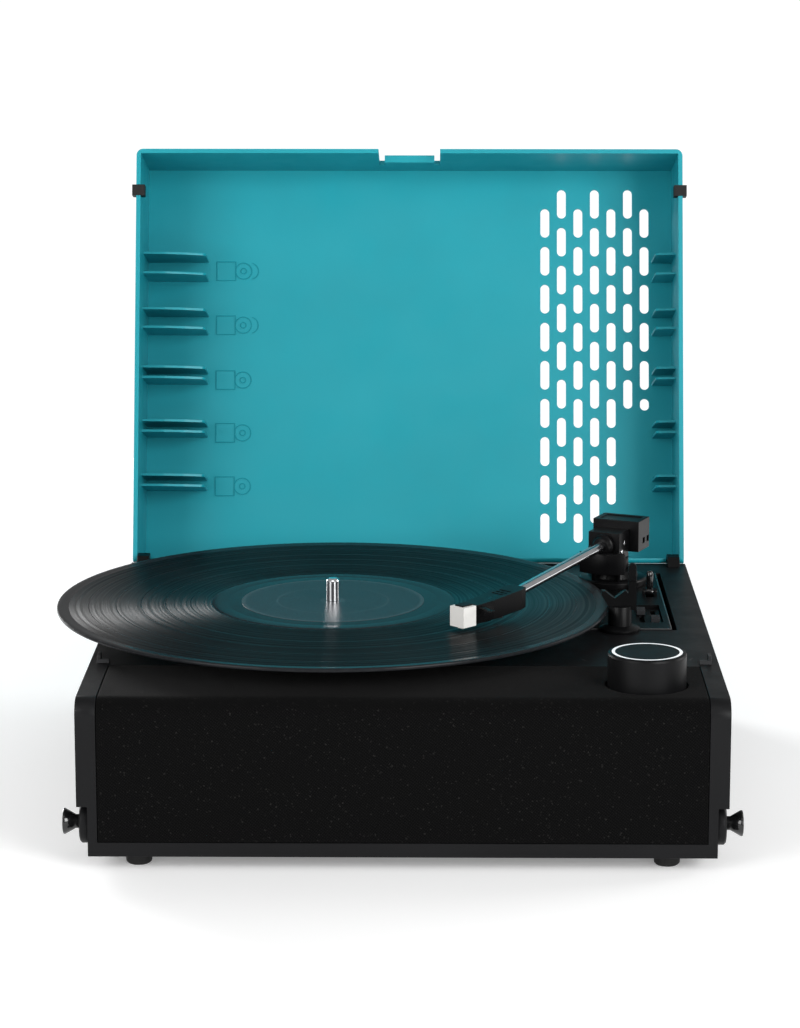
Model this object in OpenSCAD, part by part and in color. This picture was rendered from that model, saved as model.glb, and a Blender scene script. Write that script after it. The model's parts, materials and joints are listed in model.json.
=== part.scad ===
// Suitcase record player with an open lid. Millimetres, +Z up, +X to the
// right, +Y to the rear. The origin is under the middle of the whole object.

/* [Cabinet] */
// Width of the cabinet
body_w = 330; // [326:1:336]
// Depth of the cabinet
body_d = 320; // [318:1:326]
// Height of the cabinet above its feet
body_h = 82; // [80:1:90]
// Height of the feet
foot_h = 8; // [6:0.5:10]
// Wall thickness of the cabinet
wall = 2.8; // [2.4:0.1:3]
// Radius of the rounded front top edge
front_round = 9; // [8:0.5:10]

/* [Speaker bar] */
// Width of the side frame beside the cloth
cloth_side = 10.4; // [10:0.1:12]
// Height of the frame strip under the cloth
cloth_bottom = 7.4; // [7:0.1:10]
// Depth of the cloth on top of the cabinet
cloth_top = 71; // [69:0.5:71.5]

/* [Record] */
// Diameter of the record
record_d = 302; // [300:1:302]
// Thickness of the record
record_t = 2; // [1.4:0.1:2]
// Diameter of the label
label_d = 100; // [98:1:102]
// Height of the record's upper face above the deck
record_top = 13; // [13:0.5:14]
// Distance of the spindle to the left of the middle
spindle_left = 40; // [39:0.5:41]
// Distance of the spindle from the rear edge
spindle_rear = 156; // [155:0.5:157]
// Radius of the platter
platter_r = 85; // [80:1:85]
// Radius of the spindle
spindle_r = 3.6; // [3.5:0.05:3.6]

/* [Lid] */
// Outer width of the lid
lid_w = 328; // [327:0.5:328.5]
// Length of the lid from the hinge axis to its front face
lid_len = 246; // [244:0.5:246.5]
// Depth of the lid's walls
lid_depth = 62; // [60:1:66]
// Thickness of the lid's walls
lid_wall = 2.6; // [2.4:0.1:2.8]
// Opening angle of the lid
lid_open = 106; // [100:1:110]

/* [Tonearm] */
// Distance of the tonearm pivot to the right of the middle
pivot_right = 119; // [118:0.5:120]
// Distance of the tonearm pivot from the rear edge
pivot_rear = 57; // [56:0.5:58]
// Angle of the tube from straight ahead, towards the record
tube_yaw = 23.8; // [23.4:0.1:24.2]
// Height of the tube's axis above the deck
tube_z = 26; // [26:0.1:26.2]
// Radius of the tube
tube_r = 2.8; // [2.5:0.1:2.8]
// Distance from the pivot to the front end of the tube
tube_reach = 148; // [147:0.5:149]
// Angle between the headshell and the tube
head_offset = 20; // [19:0.5:21]

/* [Knob] */
// Diameter of the volume knob
knob_d = 40.4; // [39:0.2:41]
// Height of the knob above the cloth
knob_h = 17.2; // [16:0.2:18]
// Distance of the knob to the right of the middle
knob_right = 124.5; // [123:0.5:125]
// Distance of the knob from the front face
knob_front = 34.5; // [34:0.5:36]

/* [Hidden] */
$fn = 64;

// Where the middle of the cabinet stands, so that the origin is under the
// middle of the whole object, with the lid open and the record in place.
base_x = 9;
base_y = -60;

slack = 0.3;                         // gap between pieces that move
deck = foot_h + body_h;              // upper face of the deck
front = -body_d / 2;
rear = body_d / 2;
side = body_w / 2;
spindle_at = [-spindle_left, rear - spindle_rear];
pivot_at = [pivot_right, rear - pivot_rear];
knob_at = [knob_right, front + knob_front];
cloth_x = side - cloth_side;
cloth_t = 0.8;                       // thickness of the cloth
frame_t = 2.4;                       // thickness of the grille frame
record_z = deck + record_top;
mat_t = 1.5;
mat_top = record_z - record_t;
platter_top = mat_top - mat_t;

hinge_y = rear - 3;
hinge_z = deck + 3;
rear_round = 4;                      // rounding of the rear top edge, under the lid's hinge
hinge_r = 2.7;                       // rounding of the lid's corners about the hinge
pin_r = 1.2;
pin_gap = 0.05;

plate_right = 145.5;
plate_rear = rear - 25;
plate_front = rear - 169;
groove_w = 2.8;
well_r = platter_r + 3;

module placed() translate([base_x, base_y, 0]) children();
// The same on the left and the right
module both_sides() { children(); mirror([1, 0, 0]) children(); }
// Side view of the cabinet, rounded at the front top edge, inset on all sides
module cabinet_profile(inset) {
    r = front_round - inset;
    lo = foot_h + inset;
    hi = deck - inset;
    y0 = front + inset;
    y1 = rear - inset;
    translate([y0, lo]) square([y1 - y0, hi - r - lo]);
    r2 = rear_round - min(inset, rear_round - 1);
    translate([y0 + r, lo]) square([y1 - y0 - r - r2, hi - lo]);
    translate([y0 + r, lo]) square([y1 - y0 - r, hi - r2 - lo]);
    translate([y0 + r, hi - r]) circle(r);
    translate([y1 - r2, hi - r2]) circle(r2);
}
// Extrudes a side view along X, from x0 to x1
module along_x(x0, x1)
    translate([x0, 0, 0]) rotate([90, 0, 90]) linear_extrude(x1 - x0) children();

// ---- Cabinet ----
recess_depth = 5.5;                  // hollow in each side behind the strap boss
recess_top = deck - 56;
recess_len = 24;
strap_z = deck - 67;
strap_y = front + 12.5;
jack_x = -70;                        // middle of the jack panel
jack_z = foot_h + 36;
jack_w = 104;
jack_h = 30;
motor_at = spindle_at + [-48, 48];
cover_t = 2.4;
foot_x = 135;
foot_y = 17;

module speaker_bar_space(gap) {
    translate([-cloth_x + gap, front - 1, foot_h + cloth_bottom + gap])
        cube([2 * (cloth_x - gap), cloth_top + 1 - gap, body_h]);
}

// Outline of the chassis plate: a right part, and a round part under the platter
module plate_outline(grow) {
    translate([spindle_at[0], plate_front - grow])
        square([plate_right - 6 - spindle_at[0], plate_rear - plate_front + 2 * grow]);
    translate([spindle_at[0], plate_front - grow])
        square([plate_right + grow - spindle_at[0], plate_rear - plate_front - 6]);
    translate([plate_right - 6, plate_rear - 6]) circle(6 + grow);
    translate(spindle_at) circle(well_r + grow);
}

module cabinet() color("#26282b") placed() difference() {
    union() {
        difference() {
            along_x(-side, side) cabinet_profile(0);
            along_x(-side + wall, side - wall) cabinet_profile(wall);
            translate([-side + wall, front + wall, foot_h - 1])
                cube([2 * (side - wall), body_d - 2 * wall, wall + 2]);
        }
        both_sides() translate([side - recess_depth - wall, front + 0.5, foot_h])
            cube([recess_depth + wall - 0.5, recess_len + wall, recess_top + wall - foot_h]);
    }
    speaker_bar_space(0);
    both_sides() translate([side - recess_depth, front - 1, foot_h - 1])
        cube([recess_depth + 1, recess_len + 1, recess_top - foot_h + 1]);
    translate([0, 0, deck - wall - 1]) linear_extrude(wall + 2) {
        plate_outline(0.2);
        translate([plate_right - 1, plate_front - 0.2])
            square([groove_w + 1, plate_rear - plate_front - 4]);
    }
    translate([jack_x - jack_w / 2, rear - wall - 1, jack_z - jack_h / 2])
        cube([jack_w, wall + 2, jack_h]);
}

module bottom_cover() color("#1d1e20") placed() difference() {
    translate([-side + wall + 0.2, front + wall + 0.2, foot_h])
        cube([2 * (side - wall - 0.2), body_d - 2 * wall - 0.4, cover_t]);
    both_sides() translate([side - recess_depth - wall - 0.2, front, foot_h - 1])
        cube([20, recess_len + wall + 0.7, cover_t + 2]);
    for (x = [-1, 1], y = [-1, 1])
        translate([x * (foot_x - 14), y * (rear - foot_y), foot_h - 1]) cylinder(r = 1.8, h = cover_t + 2);
}

module feet() color("#111111") placed()
    for (x = [-1, 1], y = [-1, 1]) translate([x * foot_x, y * (rear - foot_y), 0])
        rotate_extrude() polygon([[0, 0], [5.6, 0], [6.6, 1], [7.2, foot_h], [0, foot_h]]);

module cabinet_screws() color("#77797c") placed()
    for (x = [-1, 1], y = [-1, 1])
        translate([x * (foot_x - 14), y * (rear - foot_y), foot_h - 1.4]) difference() {
            union() {
                cylinder(r = 3.2, h = 1.4);
                cylinder(r = 1.5, h = 12);
            }
            translate([0, 0, -1]) cylinder(r = 1.2, h = 1.8, $fn = 6);
        }

// ---- Speaker bar ----
speaker_x = 92;
speaker_z = foot_h + 39;
speaker_r = 30;
knob_hole = knob_d / 2 + 0.9;

module bar_shell(outer, inner, gap) difference() {
    intersection() {
        along_x(-side, side) cabinet_profile(outer);
        speaker_bar_space(gap);
    }
    along_x(-side - 1, side + 1) cabinet_profile(inner);
    translate([knob_at[0], knob_at[1], deck - 10]) cylinder(r = knob_hole, h = 20);
}

module grille_frame() color("#151617") placed() difference() {
    bar_shell(cloth_t, cloth_t + frame_t, 0.2);
    both_sides() translate([speaker_x, front - 1, speaker_z]) rotate([-90, 0, 0])
        cylinder(r = speaker_r, h = 12);
}

module speaker_cloth() color("#1b1b1c") placed() bar_shell(0, cloth_t, 0.2);

// Revolved about the axis of a loudspeaker, with its flange against the frame
module on_speaker() both_sides()
    translate([speaker_x, front + cloth_t + frame_t, speaker_z]) rotate([-90, 0, 0])
        rotate_extrude() children();

module speaker_baskets() color("#3a3c3f") placed() on_speaker()
    polygon([[speaker_r - 1, 0], [speaker_r + 5, 0], [speaker_r + 5, 2], [speaker_r + 1, 2],
        [24, 16], [24, 30], [0, 30], [0, 18], [18, 18], [speaker_r - 1, 3]]);

module speaker_cones() color("#0f0f10") placed() on_speaker()
    polygon([[0, 10], [8, 12.4], [speaker_r - 4, 2.4], [speaker_r - 1.2, 1], [speaker_r - 1.2, 2.6],
        [speaker_r - 4, 3.6], [9, 14.4], [0, 12]]);

// ---- Chassis and drive ----
drive_r = 52;                        // radius of the platter's drive ring
pulley_r = 6;
belt_t = 1;
belt_gap = 0.15;
spindle_neck = spindle_r - 0.2;      // the spindle is slimmer inside the platter and record
shaft_r = 3;
switch_at = [127, rear - 154];       // corner of the switch recess
switch_size = [15, 41];
cue_at = [138.5, rear - 87];
base_r = 19.5;
rest_at = [117, rear - 170];
plate_top = deck + 0.6;
flange_z = deck - wall - 2;          // underside of the chassis plate

module chassis_plate() color("#2b2d30") placed() {
    lever_ears();
    plate();
}
module plate() difference() {
    union() {
        translate([0, 0, flange_z + 0.8]) linear_extrude(plate_top - flange_z - 0.8) plate_outline(0);
        translate([0, 0, flange_z]) linear_extrude(2) plate_outline(5);
    }
    translate([spindle_at[0], spindle_at[1], flange_z - 1]) cylinder(r = 7, h = 12);
    translate([motor_at[0], motor_at[1], flange_z - 1]) cylinder(r = 8, h = 12);
    translate([switch_at[0], switch_at[1], flange_z - 1]) cube([switch_size[0], switch_size[1], 12]);
    translate([cue_at[0] - 2.4, cue_at[1] - 6.5, flange_z - 1]) cube([4.8, 13, 9]);
    // nothing under the groove to the right of the plate
    translate([plate_right, plate_front, flange_z - 1]) cube([groove_w, plate_rear - plate_front - 4.2, 9]);
}
module lever_ears() difference() {
    for (x = [-4.2, 2.5]) along_x(cue_at[0] + x, cue_at[0] + x + 1.7) {
        translate([cue_at[1], lever_z]) circle(1.9);
        translate([cue_at[1] - 1.9, deck]) square([3.8, lever_z - deck]);
    }
    translate([cue_at[0] - 9, cue_at[1], lever_z]) rotate([0, 90, 0]) cylinder(r = 0.85, h = 18);
}

module bearing_housing() color("#b08d3c") placed()
    translate([spindle_at[0], spindle_at[1], 0]) rotate_extrude() polygon([
        [shaft_r + 0.05, deck + 1.2], [shaft_r + 0.05, deck - 24], [0, deck - 24], [0, deck - 27],
        [6.8, deck - 27], [6.8, flange_z - 2.5], [12, flange_z - 2.5], [12, flange_z],
        [6.8, flange_z], [6.8, deck + 1.2]]);

module motor() color("#8d9095") placed() translate([motor_at[0], motor_at[1], 0]) difference() {
    translate([0, 0, flange_z - 22]) cylinder(r = 15, h = 22);
    translate([0, 0, flange_z - 14]) cylinder(r = 1.05, h = 20);
}

module motor_pulley() color("#c2a14d") placed() translate([motor_at[0], motor_at[1], 0])
    rotate_extrude() polygon([[0, flange_z - 13.6], [1, flange_z - 13.6], [1, deck + 1.5],
        [pulley_r + 1, deck + 1.5], [pulley_r + 1, deck + 2.6], [pulley_r, deck + 2.8],
        [pulley_r, deck + 6.2], [pulley_r + 1, deck + 6.4], [pulley_r + 1, deck + 7], [0, deck + 7]]);

// Line round the drive ring and the pulley, at a distance from both
module belt_line(grow) {
    apart = norm(motor_at - spindle_at);
    lean = acos((drive_r - pulley_r) / apart);
    a = drive_r + belt_gap + grow;
    b = pulley_r + belt_gap + grow;
    translate(spindle_at) rotate(135) {
        circle(a);
        translate([apart, 0]) circle(b);
        polygon([for (s = [1, -1]) each [
            [s > 0 ? a * cos(lean) : apart + b * cos(lean), s * (s > 0 ? a : b) * sin(lean)],
            [s > 0 ? apart + b * cos(lean) : a * cos(lean), s * (s > 0 ? b : a) * sin(lean)]]]);
    }
}
module drive_belt() color("#161616") placed() translate([0, 0, deck + 3]) linear_extrude(3)
    difference() {
        belt_line(belt_t);
        belt_line(0);
    }

module at_spindle() placed() translate([spindle_at[0], spindle_at[1], 0]) rotate_extrude() children();

module platter() color("#35373a") at_spindle() polygon([
    [spindle_neck, platter_top], [spindle_neck, deck + 3], [9, deck + 3], [9, platter_top - 2],
    [drive_r - 2.4, platter_top - 2], [drive_r - 2.4, deck + 2.2], [drive_r, deck + 2.2],
    [drive_r, platter_top - 2], [platter_r - 3, platter_top - 2], [platter_r - 3, deck + 2.2],
    [platter_r, deck + 2.2], [platter_r, platter_top - 0.8], [platter_r - 0.8, platter_top]]);

module platter_mat() color("#141414") at_spindle()
    translate([spindle_r + 0.05, platter_top]) square([platter_r - 1 - spindle_r, mat_t]);

module spindle() color("#d8dadc") at_spindle() {
    translate([0, deck - 23.6]) square([shaft_r, 30]);
    translate([0, deck + 3.2]) square([spindle_neck, record_top - 2.9]);
    translate([0, record_z + 0.3]) square([spindle_r, 11]);
    translate([0, record_z + 11.3])
        polygon([[0, 0], [spindle_r, 0], [spindle_r - 0.4, 0.7], [spindle_r - 1.4, 1.4], [0, 1.7]]);
}

module record() color("#0d0e10") at_spindle() polygon([
    [spindle_r + 0.05, mat_top], [record_d / 2 - 0.6, mat_top], [record_d / 2, mat_top + 0.6],
    [record_d / 2, record_z - 0.5], [record_d / 2 - 0.5, record_z], [record_d / 2 - 3, record_z],
    [record_d / 2 - 5, record_z - 0.3], [label_d / 2 + 12, record_z - 0.3],
    [label_d / 2 + 10, record_z], [spindle_r + 0.05, record_z]]);

module record_label() color("#30393c") at_spindle()
    translate([spindle_r + 0.1, record_z]) square([label_d / 2 - spindle_r, 0.12]);

// ---- Inside ----
module battery_pack() color("#3d6fa8") placed() {
    for (i = [0 : 3]) translate([-118 + i * 19.4, 70, foot_h + cover_t + 9.2])
        rotate([-90, 0, 0]) cylinder(r = 9.2, h = 66);
    translate([-118, 80, foot_h + cover_t]) cube([58.2, 46, 12]);
}

module main_board() color("#1f6b3a") placed() {
    translate([20, 40, foot_h + cover_t + 6]) cube([100, 70, 1.6]);
    for (x = [26, 114], y = [46, 104]) translate([x, y, foot_h + cover_t]) cylinder(r = 3, h = 6.2);
    translate([50, 60, foot_h + cover_t + 7.4]) cube([14, 14, 2]);
    for (i = [0 : 2]) translate([84 + 12 * i, 92, foot_h + cover_t + 7.4]) cylinder(r = 4, h = 11);
}

encoder_top = deck - cloth_t - frame_t - 6;
module volume_encoder() color("#55585c") placed() translate([knob_at[0], knob_at[1], 0]) difference() {
    union() {
        translate([-8, -8, encoder_top - 8]) cube([16, 16, 8]);
        translate([-12, -10, encoder_top - 9.6]) cube([24, 20, 1.6]);
        translate([0, 0, encoder_top - 1]) cylinder(r = 5, h = 4);
    }
    translate([0, 0, encoder_top - 6]) cylinder(r = shaft_r + 0.05, h = 20);
}

// ---- Knob ----
knob_top = deck + knob_h;
ring_r = 18.1;
ring_w = 1.6;
module at_knob() placed() translate([knob_at[0], knob_at[1], 0]) rotate_extrude() children();
module volume_knob() color("#2a2c2f") at_knob() difference() {
    union() {
        translate([0, encoder_top - 5.6]) square([shaft_r, knob_top - encoder_top]);
        polygon([[0, deck + 4], [0, knob_top], [knob_d / 2 - 1.2, knob_top], [knob_d / 2 - 0.4, knob_top - 0.5],
            [knob_d / 2, knob_top - 1.4], [knob_d / 2, deck - 1.6], [knob_d / 2 - 2.4, deck - 1.6],
            [knob_d / 2 - 2.4, deck + 4]]);
    }
    translate([ring_r - ring_w, knob_top - 1.2]) square([ring_w, 3]);
}
module knob_light() color("#f4f6f8") at_knob()
    translate([ring_r - ring_w, knob_top - 1.2]) square([ring_w, 1.2]);

// ---- Rear sockets ----
socket_x = [jack_x - 38, jack_x - 20];
small_x = [jack_x, jack_x + 16];
inlet_x = jack_x + 36;
jack_r = 1.8;                        // bore of the small sockets
line_r = 4.15;                       // outside of the line sockets
jack_face = rear - 1;
module on_rear(x) translate([x, jack_face, jack_z]) rotate([-90, 0, 0]) children();
module inlet_slot(grow) {
    square([5.8, 3.4 + 2 * grow], center = true);
    for (s = [-1, 1]) translate([s * 2.9, 0]) circle(1.7 + grow);
}

module jack_panel() color("#1a1b1d") placed() difference() {
    union() {
        translate([jack_x - jack_w / 2 + 0.2, rear - wall - 0.1, jack_z - jack_h / 2 + 0.2])
            cube([jack_w - 0.4, wall - 0.9, jack_h - 0.4]);
        translate([jack_x - jack_w / 2 - 4, rear - wall - 2, jack_z - jack_h / 2 - 4])
            cube([jack_w + 8, 2, jack_h + 8]);
    }
    for (x = socket_x) on_rear(x) translate([0, 0, -8]) cylinder(r = 5.2, h = 12);
    for (x = small_x) on_rear(x) translate([0, 0, -8]) cylinder(r = 4.2, h = 12);
    on_rear(inlet_x) translate([0, 0, -8]) linear_extrude(12) inlet_slot(1.2);
}
module line_sockets() color("#c9a54a") placed() for (x = socket_x) on_rear(x) difference() {
    union() {
        translate([0, 0, -14]) cylinder(r = 5.2, h = 14.6);
        cylinder(r = line_r, h = 8.6);
    }
    translate([0, 0, -4]) cylinder(r = 1.7, h = 20);
}
module small_sockets() color("#0d0d0e") placed() for (x = small_x) on_rear(x) difference() {
    translate([0, 0, -16]) cylinder(r = 4.2, h = 16.6);
    translate([0, 0, -14]) cylinder(r = jack_r, h = 20);
}
module power_inlet() color("#8b8e92") placed() on_rear(inlet_x) difference() {
    translate([0, 0, -9]) linear_extrude(9.4) inlet_slot(1.2);
    translate([0, 0, -7]) linear_extrude(10) inlet_slot(0);
}

// ---- Tonearm ----
arm_z = deck + tube_z;
turret_top = deck + 16.6;
pitch_y = -6;                        // the cross pin, ahead of the turret's axis
pitch_pin_r = 1.5;
holder_front = -15;
head_len = 36;                       // headshell, up to the stylus block
block = [10, 9.6, 10.8];
block_z = record_z + 2.1;
module at_pivot() placed() translate([pivot_at[0], pivot_at[1], 0]) rotate(-tube_yaw) children();
module at_head() at_pivot() translate([0, -tube_reach, 0]) rotate(-head_offset) children();

module tonearm_base() color("#1e1f22") placed() translate([pivot_at[0], pivot_at[1], 0]) difference() {
    rotate_extrude() polygon([[0, plate_top], [base_r, plate_top], [base_r, deck + 4], [base_r - 1, deck + 5],
        [base_r - 5, deck + 5.4], [base_r - 6, deck + 9.4], [base_r - 7, deck + 10], [0, deck + 10]]);
    translate([0, 0, deck + 2]) cylinder(r = 4.05, h = 10);
    // seats for the two guide rods of the cue lift
    for (a = cue_rods) rotate(a) translate([0, -cue_rod_r, deck + 1.6]) cylinder(r = 1.25, h = 10);
}

module tonearm_turret() color("#1b1c1e") at_pivot() {
    translate([0, 0, deck + 2.4]) cylinder(r = 4, h = 12);
    translate([0, 0, deck + 10.3]) cylinder(r = 9, h = turret_top - deck - 10.3);
    difference() {
        translate([-3.5, pitch_y - 4, turret_top - 1]) cube([7, 8, arm_z + 4.5 - turret_top + 1]);
        translate([-10, pitch_y, arm_z]) rotate([0, 90, 0]) cylinder(r = pitch_pin_r + 0.05, h = 20);
    }
}

module tonearm_pin() color("#e6e6e6") at_pivot() translate([-9.7, pitch_y, arm_z]) rotate([0, 90, 0])
    cylinder(r = pitch_pin_r, h = 19.4);

module arm_holder() color("#202124") at_pivot() difference() {
    translate([-9.5, holder_front, deck + 17.6]) cube([19, 15, 15.6]);
    translate([-4.2, pitch_y - 5.4, deck + 16]) cube([8.4, 11, 15.4]);
    translate([-12, pitch_y, arm_z]) rotate([0, 90, 0]) cylinder(r = pitch_pin_r, h = 24);
    translate([0, holder_front - 1, arm_z]) rotate([-90, 0, 0]) cylinder(r = tube_r, h = 3.4);
}

box_size = [28, 18, 17.8];
module counterweight_box() color("#232427") at_pivot() difference() {
    translate([1.5 - box_size[0] / 2, 0, deck + 20]) cube(box_size);
    // shallow panel on top, and two square holes in the right face
    translate([1.5 - box_size[0] / 2 + 3, 3, deck + 20 + box_size[2] - 0.6])
        cube([box_size[0] - 6, box_size[1] - 6, 2]);
    for (y = [7.4, 14]) translate([1.5 + box_size[0] / 2 - 1.5, y, deck + 23.9])
        cube([3, 3.2, 3.2]);
}

module tube_collar() color("#1b1c1e") at_pivot() translate([0, holder_front, arm_z]) rotate([90, 0, 0])
    rotate_extrude() polygon([[tube_r, 0], [6.4, 0], [6.4, 2.6], [5.6, 3.2], [4.6, 5.6], [tube_r, 5.6]]);

module tonearm_tube() color("#c8cbce") at_pivot() translate([0, holder_front + 2.4, arm_z]) rotate([90, 0, 0])
    cylinder(r = tube_r, h = tube_reach + holder_front + 2.4);

// Headshell: a hollow bar, open below, whose top slopes down from the tube's end
head_top = [record_z + 16.6, record_z + 12.9];
head_under = [record_z + 5.6, record_z + 3.6];
module headshell() color("#232427") at_head() difference() {
    intersection() {
        translate([0, 0, record_z + 3]) linear_extrude(14)
            polygon([[-5, 3], [5, 3], [6.6, -2], [6.6, -head_len + 12], [5.2, -head_len + 1],
                [-5.2, -head_len + 1], [-6.6, -head_len + 12], [-6.6, -2]]);
        along_x(-8, 8) polygon([[3, head_under[0]], [3, head_top[0]], [-head_len + 1, head_top[1]],
            [-head_len + 1, head_under[1]], [-head_len + 14, head_under[1]]]);
    }
    rotate(head_offset) translate([0, 5, arm_z]) rotate([90, 0, 0]) cylinder(r = tube_r, h = 5);
    translate([-4.8, -head_len - 1, record_z + 3]) cube([9.6, head_len - 6, 7.6]);
    for (i = [0 : 2]) translate([-4, -8.6 - 3 * i, head_top[0] - 2.3 - 0.3 * i]) cube([8, 1.1, 4]);
}

module cartridge() color("#101011") at_head() {
    translate([-4.6, -head_len, record_z + 3.4]) cube([9.2, 15, 7]);
    translate([-3.8, -head_len + 1.5, record_z + 2.2]) cube([7.6, 11.5, 2]);
}

module stylus_block() color("#f0f0ee") at_head() {
    translate([-block[0] / 2, -head_len - block[1], block_z]) cube(block);
    translate([-1.6, -head_len - block[1] + 2.4, record_z + 0.9]) cube([3.2, 6, 1.6]);
    translate([0, -head_len - 5.6, record_z + 0.45]) cylinder(r1 = 0.15, r2 = 0.5, h = 0.8);
}

module headshell_screw() color("#2a2a2c") at_head() translate([0, -13, record_z + 1.7]) {
    cylinder(r = 2.2, h = 1.5);
    cylinder(r = 1.2, h = 8.9);
}

// ---- Cue lift and lever ----
cue_arc_r = 24;                      // middle of the curved lift
cue_rods = [-44, 8];
cue_rod_r = 16.6;
lift_top = arm_z - tube_r - 0.4;
lever_z = plate_top + 1.8;
module cue_lift() color("#1c1d1f") placed() translate([pivot_at[0], pivot_at[1], 0]) {
    translate([0, 0, lift_top - 12]) rotate_extrude(angle = 64, start = 219)
        translate([cue_arc_r - 1.7, 0]) square([3.4, 12]);
    for (a = cue_rods) rotate(a) {
        translate([-2, -cue_arc_r, lift_top - 9]) cube([4, cue_arc_r - cue_rod_r + 1.6, 2.4]);
        translate([0, -cue_rod_r, deck + 3]) cylinder(r = 1.2, h = lift_top - 8 - deck - 3);
    }
}

module cue_lever() color("#17181a") placed() translate([cue_at[0], cue_at[1], 0]) {
    translate([-2, 0, lever_z]) rotate([0, 90, 0]) cylinder(r = 1.9, h = 4);
    translate([-4.2, 0, lever_z]) rotate([0, 90, 0]) cylinder(r = 0.8, h = 8.4);
    translate([0, 0, lever_z]) rotate_extrude() polygon([[0, 0], [1.2, 0], [1.2, 1.4], [1.9, 2.6], [1.9, 10.6],
        [1.5, 11.6], [0.8, 12.2], [0, 12.4]]);
}

// ---- Arm rest ----
clip_z = deck + 25;
module arm_rest() color("#2b2d30") placed() translate([rest_at[0], rest_at[1], 0]) {
    rotate_extrude() polygon([[0, plate_top], [11, plate_top], [11, deck + 1.6], [8, deck + 3], [6.4, deck + 3.4],
        [6.4, deck + 14], [0, deck + 14]]);
    // half of the foot stands on the deck, ahead of the chassis plate
    intersection() {
        translate([0, 0, deck]) cylinder(r = 10.8, h = 1);
        translate([-12, -12, deck - 1]) cube([24, 12 + plate_front - rest_at[1] - 0.3, 4]);
    }
    // cradle with a shallow notch for the tube
    translate([-10.2, 2.4, 0]) rotate([90, 0, 0]) linear_extrude(4.8)
        polygon([[4.4, deck + 13], [16.6, deck + 13], [16.6, deck + 18.4], [13.4, deck + 22.4],
            [12.4, deck + 22.4], [7, deck + 18.2], [1.8, deck + 22.4], [0, deck + 22.4], [0, deck + 20]]);
    // ear and pin that hold the clip
    translate([4.3, -2.4, deck + 12]) cube([4.4, 1.5, 15.6]);
    translate([6.5, -1.2, clip_z]) rotate([-90, 0, 0]) cylinder(r = 1, h = 3.6);
}

module arm_clip() color("#2b2d30") placed() translate([rest_at[0] + 6.5, rest_at[1], clip_z]) difference() {
    rotate([90, 0, 0]) translate([0, 0, -2.4]) linear_extrude(2.9) {
        circle(2.2);
        translate([-2.2, 0]) square([4.4, 10.2]);
        translate([0, 10.2]) circle(2.2);
    }
    translate([0, -4, 0]) rotate([-90, 0, 0]) cylinder(r = 1.05, h = 9);
}

// ---- Switches ----
slide_len = 8;
slide_pos = [switch_at[1] + 28, switch_at[1] + 9];
slide_x = [switch_at[0] + 4, switch_at[0] + 10.9];
module switch_plate() color("#1e1f21") placed() difference() {
    translate([switch_at[0] + 0.2, switch_at[1] + 0.2, flange_z])
        cube([switch_size[0] - 0.4, switch_size[1] - 0.4, 3.4]);
    for (x = slide_x) translate([x - 1.3, switch_at[1] + 5, flange_z + 1]) cube([2.6, 31, 6]);
}
module slide_knob(x, y) placed() translate([x, y, 0]) {
    translate([-2.4, -slide_len / 2, flange_z + 3.7]) cube([4.8, slide_len, 2.6]);
    for (i = [-1 : 1]) translate([-2.4, i * 2 - 0.5, flange_z + 6]) cube([4.8, 1, 0.9]);
    translate([-1, -2, flange_z + 1.4]) cube([2, 4, 3]);
}
module speed_switch() color("#4a4d50") slide_knob(slide_x[0], slide_pos[0]);
module auto_stop_switch() color("#4a4d50") slide_knob(slide_x[1], slide_pos[1]);

// ---- Straps ----
boss_r = 11;
module strap_bosses() color("#222427") placed() both_sides()
    translate([side - recess_depth, strap_y, strap_z]) rotate([0, 90, 0]) rotate_extrude()
        polygon([[0, 0], [boss_r, 0], [boss_r, 3.6], [boss_r - 1, 4.6], [0, 4.6]]);
module strap_buttons() color("#0b0b0c") placed() both_sides()
    translate([side - recess_depth + 4.6, strap_y, strap_z]) rotate([0, 90, 0]) rotate_extrude()
        polygon([[0, 0], [3.6, 0], [3.6, 2.4], [6.7, 7.8], [6.7, 8.6], [5.8, 8.9], [0, 8.9]]);

// ---- Hinge and catches ----
bracket_x = lid_w / 2 - lid_wall - slack - 7.2;
module hinge_brackets() color("#3a3c3f") placed() both_sides() difference() {
    along_x(bracket_x, bracket_x + 7.2) {
        polygon([[hinge_y - 11, deck], [hinge_y + 0.6, deck], [hinge_y + 0.6, hinge_z + 2.4],
            [hinge_y - 7, hinge_z + 2.4]]);
        translate([hinge_y, hinge_z]) circle(2.6);
    }
    translate([bracket_x - 1, hinge_y, hinge_z]) rotate([0, 90, 0]) cylinder(r = pin_r, h = 12);
}
module hinge_pins() color("#b9bcc0") placed() both_sides()
    translate([bracket_x + 0.6, hinge_y, hinge_z]) rotate([0, 90, 0])
        cylinder(r = pin_r, h = lid_w / 2 - bracket_x - 0.4);

catch_y = rear - 241.5;
module deck_catches() color("#46494c") placed() both_sides()
    translate([side - 10.4, catch_y, deck]) {
        along_x(0, 6.4) polygon([[-3.6, 0], [0, 0], [0, 1.8], [-2.4, 1.8]]);
        translate([4.6, -2, 0]) cube([1.8, 7, 4.2]);
    }

// ---- Lid ----
// Drawn shut, with the hinge axis at the origin and the front at -Y, then opened.
lid_side = lid_w / 2;
lid_in = lid_side - lid_wall;
lid_top = lid_depth - 3;
panel_z = lid_top - lid_wall;        // inner face of the panel
lid_round = 5;
notch_w = 37;
notch_h = 21;
slot_pitch = 23.6;
column_pitch = 10.2;
slot_w = 5.5;
slot_len = 18;
// Distance of the rib pairs from the hinge axis
rib_pairs = [[186.5, 174.6], [152.6, 141.3], [117.1, 110.7], [84.4, 78], [51.4, 45.1]];
rib_t = 1.4;
module lid_open_at() placed() translate([0, hinge_y, hinge_z]) rotate([-lid_open, 0, 0]) children();

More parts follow.
